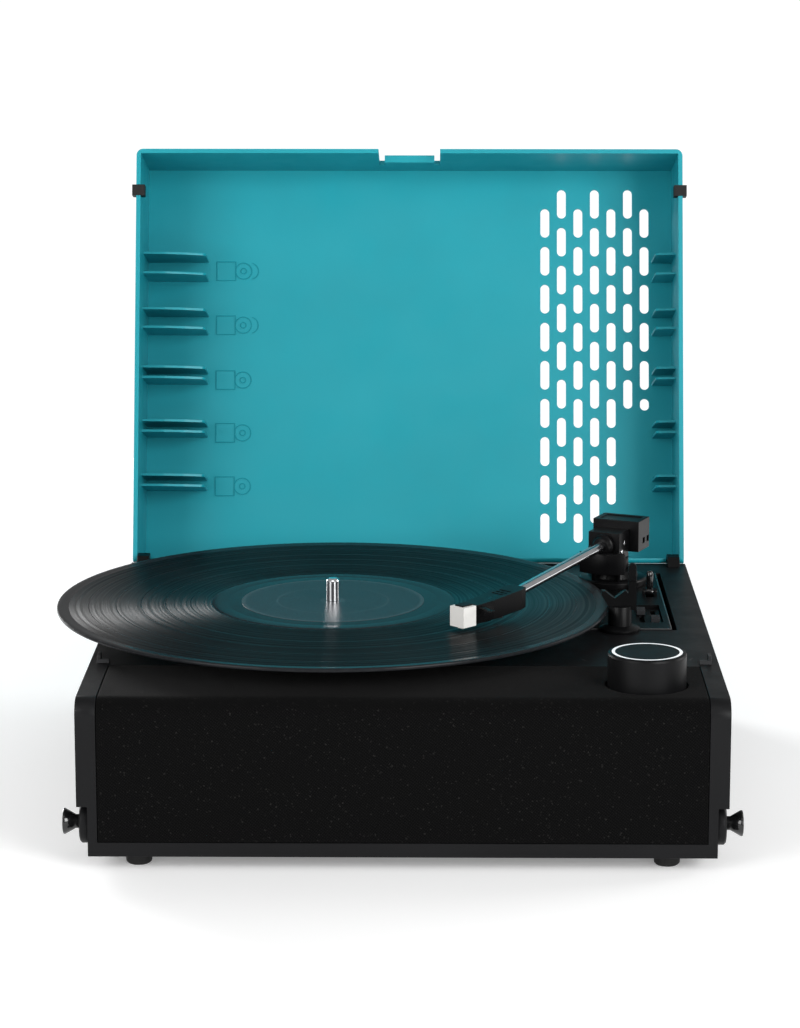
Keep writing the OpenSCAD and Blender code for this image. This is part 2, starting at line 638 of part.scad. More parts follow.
module lid_profile() {
    y0 = -lid_len;
    y1 = hinge_r;
    translate([y0, -hinge_r]) square([lid_len, lid_top - lid_round + hinge_r]);
    translate([y0, 0]) square([y1 - y0, lid_top - lid_round]);
    translate([y0 + lid_round, 0]) square([y1 - y0 - 2 * lid_round, lid_top]);
    circle(hinge_r);
    for (y = [y0 + lid_round, y1 - lid_round]) translate([y, lid_top - lid_round]) circle(lid_round);
}
// One slot of the sound grille, from its upper end towards the hinge
module grille_slot(l) {
    translate([-slot_w / 2, slot_w / 2]) square([slot_w, l - slot_w]);
    translate([0, slot_w / 2]) circle(slot_w / 2);
    translate([0, l - slot_w / 2]) circle(slot_w / 2);
}
module grille_slots() for (c = [0 : 6]) {
    high = c % 2 == 1;
    start = high ? 231.7 : 219.8;
    count = [9, 9, 9, 9, 8, 6, 5][c];
    for (i = [0 : count - 1])
        translate([83.4 + c * column_pitch, -start + i * slot_pitch]) grille_slot(slot_len);
    if (c == 6) translate([83.4 + c * column_pitch, -start + count * slot_pitch]) grille_slot(7.2);
}
// Plan of the lid, with its two front corners rounded
lid_corner = 4;
module lid_plan() {
    translate([-lid_side - 1, -lid_len + lid_corner]) square([2 * lid_side + 2, lid_len - lid_corner + 20]);
    translate([-lid_side + lid_corner, -lid_len - 1]) square([2 * (lid_side - lid_corner), lid_corner + 1.5]);
    both_sides() translate([lid_side - lid_corner, -lid_len + lid_corner]) circle(lid_corner);
}
module rib(l) translate([0, -l + rib_t / 2, 0]) rotate([90, 0, 0]) linear_extrude(rib_t) children();

module lid_shell() color("#2f9fae") lid_open_at() {
    difference() {
        intersection() {
            along_x(-lid_side, lid_side) lid_profile();
            translate([0, 0, -20]) linear_extrude(lid_top + 40) lid_plan();
        }
        translate([-lid_in, -lid_len + lid_wall, -10]) cube([2 * lid_in, lid_len - lid_wall + 0.1, panel_z + 10]);
        // latch notch in the front wall, with a deeper slot at each end
        translate([-notch_w / 2, -lid_len - 1, -10]) cube([notch_w, lid_wall + 2, notch_h + 10 - hinge_r]);
        for (x = [-notch_w / 2, notch_w / 2 - 3.4])
            translate([x, -lid_len - 1, 0]) cube([3.4, lid_wall + 2, 36]);
        // room for the brackets and bumpers
        both_sides() {
            translate([bracket_x - slack, -4, -5]) cube([lid_in - bracket_x + slack, 9, 8.4]);
            rotate([0, 90, 0]) cylinder(r = pin_r + pin_gap, h = lid_side + 1);
            translate([lid_in - 1, -bumper_at - 3.3, -5]) cube([lid_wall + 2, 6.6, 5 - hinge_r + 1.4]);
        }
        translate([0, 0, lid_top - 10]) linear_extrude(20) grille_slots();
    }
    // thick lip on the latch tongue
    translate([-notch_w / 2 + 3.4, -lid_len + lid_wall - 0.1, notch_h - hinge_r]) cube([notch_w - 6.8, 1.9, 6]);
    for (pair = rib_pairs, l = pair) {
        rib(l) polygon([[-lid_in - 0.1, panel_z + 0.1], [-lid_in - 0.1, panel_z - 36], [-148, panel_z - 35.4],
            [-136, panel_z - 33], [-125.5, panel_z - 29.4], [-124, panel_z - 27.4], [-124, panel_z + 0.1]]);
        rib(l) polygon([[lid_in + 0.1, panel_z + 0.1], [lid_in + 0.1, panel_z - 35], [151, panel_z - 33.6],
            [149.4, panel_z - 31.6], [149, panel_z + 0.1]]);
    }
}

icon_h = 0.4;
module ring2d(r, w) difference() { circle(r); circle(r - w); }
module sleeve2d(w) difference() { square(w, center = true); square(w - 1.2, center = true); }
// Outline of a sleeve with one disc, or with two
module lid_icons() color("#2a909e") lid_open_at() for (i = [0 : 4]) {
    l = (rib_pairs[i][0] + rib_pairs[i][1]) / 2 - (i < 2 ? 0 : 1);
    translate([0, -l, panel_z - icon_h]) linear_extrude(icon_h) {
        translate([-113.3, 0]) sleeve2d(12.2);
        difference() {
            translate([-102.6, 0]) { ring2d(5.3, 0.6); ring2d(2, 0.6); }
            translate([-113.3, 0]) square(12.2, center = true);
        }
        if (i < 2) translate([-98.4, 0]) intersection() {
            ring2d(5.3, 0.6);
            translate([1.2, -6]) square(12);
        }
    }
}

bumper_at = 221;
module lid_bumpers() color("#101011") lid_open_at() both_sides() difference() {
    translate([lid_in - 2.5, -bumper_at - 3.3, -hinge_r]) cube([lid_wall + 5, 6.6, 7.7]);
    translate([lid_in, -bumper_at - 4, -hinge_r + 1.4]) cube([lid_wall, 8, 8]);
}

cabinet();
bottom_cover();
feet();
grille_frame();
speaker_cloth();
speaker_baskets();
speaker_cones();
chassis_plate();
bearing_housing();
motor();
motor_pulley();
drive_belt();
platter();
platter_mat();
spindle();
record();
record_label();
battery_pack();
main_board();
volume_encoder();
volume_knob();
knob_light();
jack_panel();
line_sockets();
small_sockets();
power_inlet();
tonearm_base();
tonearm_turret();
tonearm_pin();
arm_holder();
counterweight_box();
tube_collar();
tonearm_tube();
headshell();
cartridge();
stylus_block();
headshell_screw();
cue_lever();
cue_lift();
arm_rest();
arm_clip();
switch_plate();
speed_switch();
auto_stop_switch();
strap_bosses();
strap_buttons();
hinge_brackets();
hinge_pins();
deck_catches();
lid_shell();
lid_icons();
lid_bumpers();
cabinet_screws();
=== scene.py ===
"""Looks of a suitcase record player: materials, speaker cloth, grooved record, light and camera."""

import json
import math
import random

import bpy
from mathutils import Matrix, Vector


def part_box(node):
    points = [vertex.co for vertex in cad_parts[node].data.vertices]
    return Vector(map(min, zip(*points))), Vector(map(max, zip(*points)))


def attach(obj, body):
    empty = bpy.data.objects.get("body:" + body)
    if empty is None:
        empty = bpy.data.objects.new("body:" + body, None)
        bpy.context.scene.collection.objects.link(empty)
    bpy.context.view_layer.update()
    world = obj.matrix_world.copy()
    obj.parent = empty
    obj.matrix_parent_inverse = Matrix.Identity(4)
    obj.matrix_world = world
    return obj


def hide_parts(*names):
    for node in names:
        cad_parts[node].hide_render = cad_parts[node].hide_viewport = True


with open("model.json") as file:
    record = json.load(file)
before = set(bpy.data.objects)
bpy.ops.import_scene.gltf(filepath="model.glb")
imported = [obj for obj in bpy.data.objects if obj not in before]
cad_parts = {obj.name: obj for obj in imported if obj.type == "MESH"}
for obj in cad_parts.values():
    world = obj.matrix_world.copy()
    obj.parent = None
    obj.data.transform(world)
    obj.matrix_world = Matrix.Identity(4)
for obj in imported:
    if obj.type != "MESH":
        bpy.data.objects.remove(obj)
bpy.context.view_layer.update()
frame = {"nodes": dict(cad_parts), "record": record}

MM = 0.001
scene = bpy.context.scene
nodes = frame["nodes"]


def middle(node):
    """Middle of a CAD node's box."""
    low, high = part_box(node)
    return (low + high) / 2


# ---------------------------------------------------------------- materials
def new_material(name):
    mat = bpy.data.materials.new(name)
    mat.use_nodes = True
    tree = mat.node_tree
    shader = tree.nodes["Principled BSDF"]
    return mat, tree, shader


def add(tree, kind, **values):
    node = tree.nodes.new(kind)
    for key, value in values.items():
        if key in node.inputs:
            node.inputs[key].default_value = value
        else:
            setattr(node, key, value)
    return node


def object_coords(tree):
    return add(tree, "ShaderNodeTexCoord").outputs["Object"]


def noise(tree, coords, scale, detail=4.0, roughness=0.55):
    node = add(tree, "ShaderNodeTexNoise", Scale=scale, Detail=detail, Roughness=roughness)
    tree.links.new(coords, node.inputs["Vector"])
    return node.outputs["Fac"]


def spread(tree, fac, low, high, start=0.35, end=0.65):
    """Maps a noise value to a range of plain numbers."""
    node = add(tree, "ShaderNodeMapRange")
    tree.links.new(fac, node.inputs["Value"])
    for key, value in (("From Min", start), ("From Max", end), ("To Min", low), ("To Max", high)):
        node.inputs[key].default_value = value
    return node.outputs["Result"]


def two_tone(tree, fac, first, second, start=0.35, end=0.65):
    ramp = add(tree, "ShaderNodeValToRGB")
    ramp.color_ramp.elements[0].position = start
    ramp.color_ramp.elements[0].color = (*first, 1)
    ramp.color_ramp.elements[1].position = end
    ramp.color_ramp.elements[1].color = (*second, 1)
    tree.links.new(fac, ramp.inputs["Fac"])
    return ramp.outputs["Color"]


def about_middle(tree, coords, node):
    """Coordinates measured from the middle of a CAD node and flattened to its plane."""
    centre = middle(node)
    moved = add(tree, "ShaderNodeMapping")
    moved.inputs["Location"].default_value = (-centre.x, -centre.y, 0)
    moved.inputs["Scale"].default_value = (1, 1, 0)
    tree.links.new(coords, moved.inputs["Vector"])
    return moved.outputs["Vector"]


def bump(tree, shader, height, distance, strength=1.0, below=None):
    node = add(tree, "ShaderNodeBump", Strength=strength, Distance=distance)
    tree.links.new(height, node.inputs["Height"])
    if below is not None:
        tree.links.new(below.outputs["Normal"], node.inputs["Normal"])
    tree.links.new(node.outputs["Normal"], shader.inputs["Normal"])
    return node


def shade(colour, factor):
    return tuple(min(1.0, c * factor) for c in colour)


def moulded(name, colour, rough, grain_mm=0.5, grain_depth=0.02, level=0.13, vary=0.12, coat=0.0):
    """Moulded plastic or rubber: spark-eroded grain, soft unevenness and slightly uneven gloss."""
    mat, tree, shader = new_material(name)
    coords = object_coords(tree)
    broad = noise(tree, coords, 9.0, 3.0)
    fine = noise(tree, coords, 1000.0 / grain_mm, 2.0, 0.6)
    handled = noise(tree, coords, 42.0, 5.0, 0.6)
    tree.links.new(two_tone(tree, broad, shade(colour, 1 - vary), shade(colour, 1 + vary)),
                   shader.inputs["Base Color"])
    tree.links.new(spread(tree, handled, rough - 0.045, rough + 0.045), shader.inputs["Roughness"])
    shader.inputs["Specular IOR Level"].default_value = level
    shader.inputs["Coat Weight"].default_value = coat
    bump(tree, shader, fine, grain_depth * MM)
    return mat


def metal(name, colour, rough, turned=False, scratch_mm=0.3):
    mat, tree, shader = new_material(name)
    coords = object_coords(tree)
    stretch = add(tree, "ShaderNodeMapping")
    stretch.inputs["Scale"].default_value = (1, 1, 30) if turned else (1, 1, 1)
    tree.links.new(coords, stretch.inputs["Vector"])
    lines = noise(tree, stretch.outputs["Vector"], 100.0 / scratch_mm, 3.0, 0.5)
    broad = noise(tree, coords, 60.0, 3.0)
    tree.links.new(two_tone(tree, broad, shade(colour, 0.93), shade(colour, 1.05)),
                   shader.inputs["Base Color"])
    tree.links.new(spread(tree, lines, rough * 0.8, rough * 1.25), shader.inputs["Roughness"])
    shader.inputs["Metallic"].default_value = 1.0
    bump(tree, shader, lines, 0.004 * MM, 0.5)
    return mat


CHARCOAL = (0.0068, 0.0069, 0.0075)
TEAL = (0.010, 0.300, 0.362)

mats = {
    "cabinet_plastic": moulded("cabinet_plastic_look", CHARCOAL, 0.42, 0.45, 0.022),
    "black_plastic": moulded("black_plastic_look", (0.0040, 0.0040, 0.0043), 0.46, 0.4, 0.02),
    "chassis_plastic": moulded("chassis_plastic_look", (0.0034, 0.0035, 0.0038), 0.36, 0.4, 0.014),
    "arm_plastic": moulded("arm_plastic_look", (0.0042, 0.0042, 0.0046), 0.31, 0.35, 0.01),
    "knob_plastic": moulded("knob_plastic_look", (0.0044, 0.0045, 0.0049), 0.40, 0.3, 0.008),
    "switch_plastic": moulded("switch_plastic_look", (0.03, 0.031, 0.033), 0.38, 0.3, 0.008),
    "gloss_black": moulded("gloss_black_look", (0.005, 0.005, 0.0055), 0.14, 1.2, 0.004,
                           level=0.5, coat=0.3),
    # Painted highlight: a grey much lighter than the chassis plastic, for the strip that stands in for
    # the plate edge's glint
    "plate_edge": moulded("plate_edge_painted_highlight_look", (0.045, 0.046, 0.048), 0.20, 0.5, 0.004,
                          level=0.5, coat=0.4),
    "white_plastic": moulded("white_plastic_look", (0.80, 0.79, 0.76), 0.28, 0.5, 0.006, vary=0.02),
    "lid_plastic": moulded("lid_plastic_look", TEAL, 0.40, 0.55, 0.02, level=0.3, vary=0.045),
    # Painted shade: the moulded icons get a darker teal than the lid, standing in for the shading of
    # their relief
    "lid_plastic_dark": moulded("lid_icon_painted_shade_look", (0.007, 0.235, 0.288), 0.36, 0.4, 0.01, vary=0.05),
    "foot_rubber": moulded("foot_rubber_look", (0.008, 0.008, 0.008), 0.62, 0.6, 0.03, level=0.3),
    "belt_rubber": moulded("belt_rubber_look", (0.010, 0.010, 0.010), 0.58, 0.5, 0.02, level=0.3),
    "chrome": metal("chrome_look", (0.86, 0.87, 0.89), 0.10),
    "tube_metal": metal("tube_look", (0.72, 0.73, 0.75), 0.13, scratch_mm=0.5),
    "brass": metal("brass_look", (0.72, 0.52, 0.22), 0.24, turned=True),
    "motor_steel": metal("zinc_look", (0.50, 0.51, 0.53), 0.34, turned=True),
    "screw_steel": metal("screw_look", (0.22, 0.22, 0.23), 0.32),
    "battery_wrap": moulded("battery_wrap_look", (0.02, 0.09, 0.30), 0.25, 2.0, 0.01),
    "board": moulded("board_look", (0.01, 0.12, 0.03), 0.3, 1.5, 0.02),
}


def cone_paper():
    mat, tree, shader = new_material("cone_paper_look")
    coords = object_coords(tree)
    fibres = noise(tree, coords, 2600.0, 6.0, 0.7)
    tree.links.new(two_tone(tree, fibres, (0.010, 0.010, 0.010), (0.030, 0.029, 0.028)),
                   shader.inputs["Base Color"])
    shader.inputs["Roughness"].default_value = 0.85
    bump(tree, shader, fibres, 0.06 * MM)
    return mat


def ribbed_rubber():
    """Mat with fine moulded rings round the spindle."""
    mat, tree, shader = new_material("mat_rubber_look")
    coords = object_coords(tree)
    rings = add(tree, "ShaderNodeTexWave", wave_type="RINGS", rings_direction="SPHERICAL", Scale=90.0)
    tree.links.new(about_middle(tree, coords, "platter_mat"), rings.inputs["Vector"])
    grain = noise(tree, coords, 1500.0, 2.0)
    tree.links.new(two_tone(tree, grain, (0.007, 0.007, 0.007), (0.013, 0.013, 0.013)),
                   shader.inputs["Base Color"])
    tree.links.new(spread(tree, grain, 0.5, 0.65), shader.inputs["Roughness"])
    below = bump(tree, shader, rings.outputs["Fac"], 0.15 * MM)
    bump(tree, shader, grain, 0.02 * MM, below=below)
    return mat


def label_paper():
    """Label with a plain printed tint, a lighter centre and edge, a thin ring and paper grain."""
    mat, tree, shader = new_material("label_look")
    low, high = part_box("record_label")
    outer = (high.x - low.x) / 2
    coords = object_coords(tree)
    reach = add(tree, "ShaderNodeVectorMath", operation="LENGTH")
    tree.links.new(about_middle(tree, coords, "record_label"), reach.inputs[0])
    ramp = add(tree, "ShaderNodeValToRGB")
    plain, line = (0.027, 0.031, 0.036), (0.055, 0.064, 0.070)
    # Share of the label's radius, and the colour there
    stops = [(0.0, line), (0.13, line), (0.145, plain), (0.60, plain), (0.605, line), (0.615, line),
             (0.62, plain), (0.955, plain), (0.965, line), (1.0, line)]
    ramp.color_ramp.interpolation = "LINEAR"
    while len(ramp.color_ramp.elements) < len(stops):
        ramp.color_ramp.elements.new(0.5)
    for element, (place, colour) in zip(ramp.color_ramp.elements, stops):
        element.position = place
        element.color = (*colour, 1)
    scaled = add(tree, "ShaderNodeMath", operation="DIVIDE")
    tree.links.new(reach.outputs["Value"], scaled.inputs[0])
    scaled.inputs[1].default_value = outer
    tree.links.new(scaled.outputs["Value"], ramp.inputs["Fac"])
    tree.links.new(ramp.outputs["Color"], shader.inputs["Base Color"])
    fibres = noise(tree, coords, 1800.0, 5.0, 0.65)
    tree.links.new(spread(tree, fibres, 0.26, 0.36), shader.inputs["Roughness"])
    shader.inputs["Specular IOR Level"].default_value = 0.12
    bump(tree, shader, fibres, 0.006 * MM)
    return mat


def light_ring():
    mat, tree, shader = new_material("light_ring_look")
    coords = object_coords(tree)
    cloudy = noise(tree, coords, 260.0, 3.0)
    tree.links.new(two_tone(tree, cloudy, (0.78, 0.80, 0.82), (0.9, 0.91, 0.92)),
                   shader.inputs["Base Color"])
    tree.links.new(two_tone(tree, cloudy, (0.80, 0.84, 0.88), (0.95, 0.97, 1.0)),
                   shader.inputs["Emission Color"])
    shader.inputs["Emission Strength"].default_value = 0.42
    shader.inputs["Roughness"].default_value = 0.3
    bump(tree, shader, cloudy, 0.01 * MM)
    return mat


def speaker_cloth_look():
    """Fine diagonal weave: two sets of threads, uneven yarn and a few lighter flecks."""
    mat, tree, shader = new_material("speaker_cloth_look")
    place = add(tree, "ShaderNodeAttribute", attribute_name="flat_place").outputs["Vector"]

    def threads(angle, pitch_mm):
        turned = add(tree, "ShaderNodeMapping")
        turned.inputs["Rotation"].default_value = (0, 0, math.radians(angle))
        tree.links.new(place, turned.inputs["Vector"])
        wave = add(tree, "ShaderNodeTexWave", wave_type="BANDS", bands_direction="X",
                   Scale=math.pi / 10 / (pitch_mm * MM))
        wave.inputs["Distortion"].default_value = 1.6
        wave.inputs["Detail"].default_value = 2.0
        wave.inputs["Detail Scale"].default_value = 2.0
        tree.links.new(turned.outputs["Vector"], wave.inputs["Vector"])
        return wave.outputs["Fac"]

    one, other = threads(38, 1.05), threads(-52, 1.25)
    weave = add(tree, "ShaderNodeMath", operation="MULTIPLY")
    tree.links.new(one, weave.inputs[0])
    tree.links.new(other, weave.inputs[1])
    cells = add(tree, "ShaderNodeTexVoronoi", Scale=1400.0)
    tree.links.new(place, cells.inputs["Vector"])
    lit = add(tree, "ShaderNodeSeparateColor")
    tree.links.new(cells.outputs["Color"], lit.inputs["Color"])
    chosen = spread(tree, lit.outputs["Red"], 0.0, 1.0, 0.97, 1.0)
    dark, thread = (0.0016, 0.0016, 0.0017), (0.0044, 0.0043, 0.0043)
    fleck = (0.013, 0.0125, 0.012)
    base = two_tone(tree, weave.outputs["Value"], dark, thread, 0.05, 0.75)
    mix = add(tree, "ShaderNodeMix", data_type="RGBA")
    tree.links.new(chosen, mix.inputs["Factor"])
    tree.links.new(base, mix.inputs[6])
    mix.inputs[7].default_value = (*fleck, 1)
    tree.links.new(mix.outputs[2], shader.inputs["Base Color"])
    shader.inputs["Roughness"].default_value = 0.9
    shader.inputs["Specular IOR Level"].default_value = 0.05
    shader.inputs["Sheen Weight"].default_value = 0.015
    shader.inputs["Sheen Roughness"].default_value = 0.5
    fuzz = noise(tree, place, 3200.0, 4.0, 0.7)
    below = bump(tree, shader, weave.outputs["Value"], 0.16 * MM)
    bump(tree, shader, fuzz, 0.05 * MM, below=below)
    return mat


def vinyl(name, rough, grooved):
    """Pressed record: a groove field that spreads light across the grooves, or its smooth bands with a
    painted sheen in their lighter base colour.
    """
    mat, tree, shader = new_material(name)
    coords = object_coords(tree)
    dust = noise(tree, coords, 300.0, 4.0, 0.6)
    # Painted sheen: the smooth bands get a base colour 3.6 times lighter than the grooves, standing in
    # for their brighter reflection
    painted_sheen_lift = 1.0 if grooved else 3.6
    first, second = (0.0030, 0.0032, 0.0036), (0.0046, 0.0049, 0.0054)
    tree.links.new(two_tone(tree, dust, shade(first, painted_sheen_lift), shade(second, painted_sheen_lift)),
                   shader.inputs["Base Color"])
    shader.inputs["Specular IOR Level"].default_value = 0.11 if grooved else 0.08
    if grooved:
        shader.inputs["Anisotropic"].default_value = 0.9
        shader.inputs["Anisotropic Rotation"].default_value = 0.25
        tangent = add(tree, "ShaderNodeTangent", direction_type="RADIAL", axis="Z")
        tree.links.new(tangent.outputs["Tangent"], shader.inputs["Tangent"])
        rings = add(tree, "ShaderNodeTexWave", wave_type="RINGS", rings_direction="Z", Scale=260.0)
        rings.inputs["Distortion"].default_value = 0.4
        tree.links.new(coords, rings.inputs["Vector"])
        bump(tree, shader, rings.outputs["Fac"], 0.004 * MM)
        # Quiet and loud turns of the groove spread light differently
        flat = add(tree, "ShaderNodeVectorMath", operation="MULTIPLY")
        tree.links.new(coords, flat.inputs[0])
        flat.inputs[1].default_value = (1, 1, 0)
        reach = add(tree, "ShaderNodeVectorMath", operation="LENGTH")
        tree.links.new(flat.outputs["Vector"], reach.inputs[0])
        turns = add(tree, "ShaderNodeTexNoise", noise_dimensions="1D", Scale=520.0)
        turns.inputs["Detail"].default_value = 4.0
        turns.inputs["Roughness"].default_value = 0.65
        tree.links.new(reach.outputs["Value"], turns.inputs["W"])
        tree.links.new(spread(tree, turns.outputs["Fac"], rough * 0.7, rough * 1.25),
                       shader.inputs["Roughness"])
    else:
        tree.links.new(spread(tree, dust, rough * 0.9, rough * 1.12), shader.inputs["Roughness"])
        bump(tree, shader, dust, 0.003 * MM)
    return mat


mats["cone_paper"] = cone_paper()
mats["mat_rubber"] = ribbed_rubber()
mats["label"] = label_paper()
mats["light_ring"] = light_ring()
mats["cloth"] = speaker_cloth_look()
mats["vinyl"] = vinyl("vinyl_smooth_painted_sheen_look", 0.22, False)
groove_mat = vinyl("vinyl_groove_look", 0.40, True)

# Every CAD node takes its slot's material, and its edges are eased a little (0 leaves them sharp)
USUAL_EDGE_MM = 0.2
EDGE_MM = {"lid_shell": 0.45, "cabinet": 0.5, "chassis_plate": 0.5, "hinge_brackets": 0.35,
           "counterweight_box": 0.5, "arm_holder": 0.4, "headshell": 0.35, "stylus_block": 0.3,
           "arm_rest": 0.35, "volume_knob": 0.0, "record_label": 0.0, "lid_icons": 0.0,
           "knob_light": 0.0, "tonearm_tube": 0.0, "spindle": 0.0}
for part in frame["record"]["subparts"]:
    obj = nodes[part["node"]]
    obj.data.materials.clear()
    obj.data.materials.append(mats[part["material_slot"]])
    width = EDGE_MM.get(part["node"], USUAL_EDGE_MM)
    if width:
        weld = obj.modifiers.new("join_corners", "WELD")
        weld.merge_threshold = 0.002 * MM
        flat = obj.modifiers.new("plain_faces", "DECIMATE")
        flat.decimate_type = "DISSOLVE"
        flat.angle_limit = math.radians(0.6)
        ease = obj.modifiers.new("eased_edges", "BEVEL")
        ease.width = width * MM
        ease.segments = 2
        ease.limit_method = "ANGLE"
        ease.angle_limit = math.radians(38)
        ease.harden_normals = True


# ---------------------------------------------------------------- helpers for meshes
def make_mesh(name, points, faces, material, smooth=True):
    mesh = bpy.data.meshes.new(name)
    mesh.from_pydata(points, [], faces)
    mesh.validate()
    mesh.update()
    for polygon in mesh.polygons:
        polygon.use_smooth = smooth
    obj = bpy.data.objects.new(name, mesh)
    mesh.materials.append(material)
    scene.collection.objects.link(obj)
    return obj


def turned_points(outline, segments):
    """Rings of points from (radius, height) pairs in mm, turned about Z."""
    angles = [2 * math.pi * s / segments for s in range(segments)]
    return [(r * math.cos(a) * MM, r * math.sin(a) * MM, z * MM) for r, z in outline for a in angles]


def ring_faces(i, j, segments):
    """Faces between the rings of points i and j."""
    return [(i * segments + s, i * segments + (s + 1) % segments,
             j * segments + (s + 1) % segments, j * segments + s) for s in range(segments)]


# ---------------------------------------------------------------- speaker cloth
def cloth_sheet():
    """A stretched sheet over the rounded front edge, tucked in along its border and round the knob."""
    low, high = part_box("speaker_cloth")
    knob_low, knob_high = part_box("volume_knob")
    knob = middle("volume_knob")
    hole_r = (knob_high.x - knob_low.x) / 2 + 0.9 * MM
    round_r = 9 * MM  # rounding of the bar's front edge
    tuck = 1.3 * MM  # width of the strip that is tucked in along a border
    tuck_depth = 0.55  # depth of the tuck as a share of its width
    hole_tuck = 2.6  # how many times narrower the tuck is round the knob
    height = high.z - low.z - round_r
    arc = math.pi / 2 * round_r
    depth = high.y - low.y - round_r
    width, length = high.x - low.x, height + arc + depth

    def place(u, v):
        """Point and outward normal of the flat place (u, v)."""
        x = low.x + u
        if v <= height:
            return Vector((x, low.y, low.z + v)), Vector((0, -1, 0))
        if v <= height + arc:
            a = (v - height) / round_r
            n = Vector((0, -math.cos(a), math.sin(a)))
            return Vector((x, low.y + round_r, high.z - round_r)) + n * round_r, n
        return Vector((x, low.y + round_r + v - height - arc, high.z)), Vector((0, 0, 1))

    hole_u = knob.x - low.x
    hole_v = height + arc + knob.y - (low.y + round_r)

    def drop(u, v):
        """How far the flat place (u, v) is tucked in."""
        from_hole = math.hypot(u - hole_u, v - hole_v) - hole_r
        edge = min(u, width - u, v, length - v, hole_tuck * from_hole)
        if edge >= tuck:
            return 0.0
        s = tuck - max(edge, 0.0)
        return tuck_depth * (tuck - math.sqrt(max(tuck * tuck - s * s, 0.0)))

    def steps(start, end, size):
        count = max(1, round((end - start) / size))
        return [start + (end - start) * i / count for i in range(count)]

    # A grid of quads, but for a square round the knob's hole, which is filled by rings
    half = 24 * MM
    side = 2 * half / 16
    border = [0.0, 0.1 * MM, 0.3 * MM, 0.65 * MM, tuck]
    us = border[:-1] + steps(tuck, hole_u - half, 4 * MM)
    us += steps(hole_u - half, hole_u + half, side)
    us += steps(hole_u + half, width - tuck, 2 * MM) + [width - b for b in reversed(border)]
    vs = border[:-1] + steps(tuck, height, 4 * MM) + steps(height, height + arc, arc / 10)
    vs += steps(height + arc, hole_v - half, 2 * MM) + steps(hole_v - half, hole_v + half, side)
    vs += steps(hole_v + half, length - tuck, 2 * MM) + [length - b for b in reversed(border)]

    flat, faces, index = [], [], {}

    def vertex(u, v):
        key = (round(u * 1e7), round(v * 1e7))
        if key not in index:
            index[key] = len(flat)
            flat.append((u, v))
        return index[key]

    for i in range(len(us) - 1):
        for j in range(len(vs) - 1):
            mid_u, mid_v = (us[i] + us[i + 1]) / 2, (vs[j] + vs[j + 1]) / 2
            if abs(mid_u - hole_u) < half and abs(mid_v - hole_v) < half:
                continue
            corners = ((i, j), (i + 1, j), (i + 1, j + 1), (i, j + 1))
            faces.append([vertex(us[a], vs[b]) for a, b in corners])
    near = half + 1e-7
    square_u = [u for u in us if hole_u - near <= u <= hole_u + near]
    square_v = [v for v in vs if hole_v - near <= v <= hole_v + near]
    rim = [(u, square_v[0]) for u in square_u[:-1]]
    rim += [(square_u[-1], v) for v in square_v[:-1]]
    rim += [(u, square_v[-1]) for u in reversed(square_u[1:])]
    rim += [(square_u[0], v) for v in reversed(square_v[1:])]
    shares = [0.0, 0.1, 0.3, 0.65, 1.0]
    rows = []
    for u, v in rim:
        direction = Vector((u - hole_u, v - hole_v))
        far = direction.length
        direction.normalize()
        row = [hole_r + s * tuck / hole_tuck for s in shares]
        row += [row[-1] + (far - row[-1]) * k / 3 for k in (1, 2)]
        ring = [vertex(hole_u + direction.x * r, hole_v + direction.y * r) for r in row]
        rows.append(ring + [vertex(u, v)])
    for a, b in zip(rows, rows[1:] + rows[:1]):
        for k in range(len(a) - 1):
            faces.append([a[k], a[k + 1], b[k + 1], b[k]])
    points = []
    for u, v in flat:
        point, normal = place(u, v)
        points.append(point - normal * drop(u, v))
    obj = make_mesh("woven_speaker_cloth", points, faces, mats["cloth"])
    if obj.data.polygons[0].normal.y > 0:
        obj.data.flip_normals()
    attribute = obj.data.attributes.new("flat_place", "FLOAT_VECTOR", "POINT")
    for item, (u, v) in zip(attribute.data, flat):
        item.vector = (u, v, 0)
    thick = obj.modifiers.new("cloth_thickness", "SOLIDIFY")
    thick.thickness = 0.5 * MM
    thick.offset = -1
    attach(obj, "cabinet_body")
    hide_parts("speaker_cloth")


cloth_sheet()


